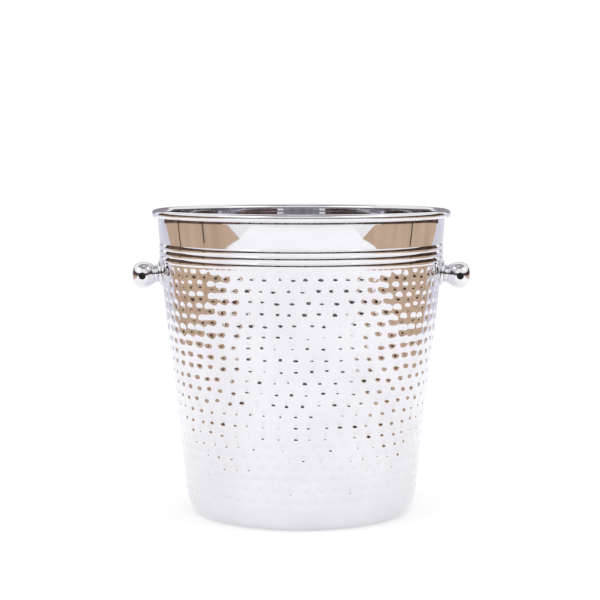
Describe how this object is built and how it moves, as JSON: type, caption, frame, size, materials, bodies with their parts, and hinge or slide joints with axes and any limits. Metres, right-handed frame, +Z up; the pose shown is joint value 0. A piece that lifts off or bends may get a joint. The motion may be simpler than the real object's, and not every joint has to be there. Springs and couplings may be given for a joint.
{
  "type": "champagne bucket",
  "caption": "Tapered hammered metal ice bucket with a rolled rim, a smooth collar above pressed beads, and a turned ball knob on each side.",
  "frame": {"origin": "centre of the base, on the surface that the bucket stands on", "axes": "+Z up along the bucket's axis; X runs from the left knob to the right knob; the pictured front faces -Y"},
  "size_m": [0.2384, 0.21, 0.2135],
  "materials": {
    "polished_shell": "mirror polished sheet, hammered below the beads",
    "polished_trim": "mirror polished, turned",
    "plain_steel": "satin",
    "blackened_steel": "black oxide",
    "seal_rubber": "matte black"
  },
  "bodies": {
    "root": {"bucket_shell": "polished_shell", "rim_wire": "plain_steel", "left_knob": "polished_trim", "left_grub_screw": "blackened_steel", "left_rosette": "polished_trim", "left_seal": "seal_rubber", "left_washer": "plain_steel", "left_screw": "plain_steel", "right_knob": "polished_trim", "right_grub_screw": "blackened_steel", "right_rosette": "polished_trim", "right_seal": "seal_rubber", "right_washer": "plain_steel", "right_screw": "plain_steel"}
  },
  "joints": []
}
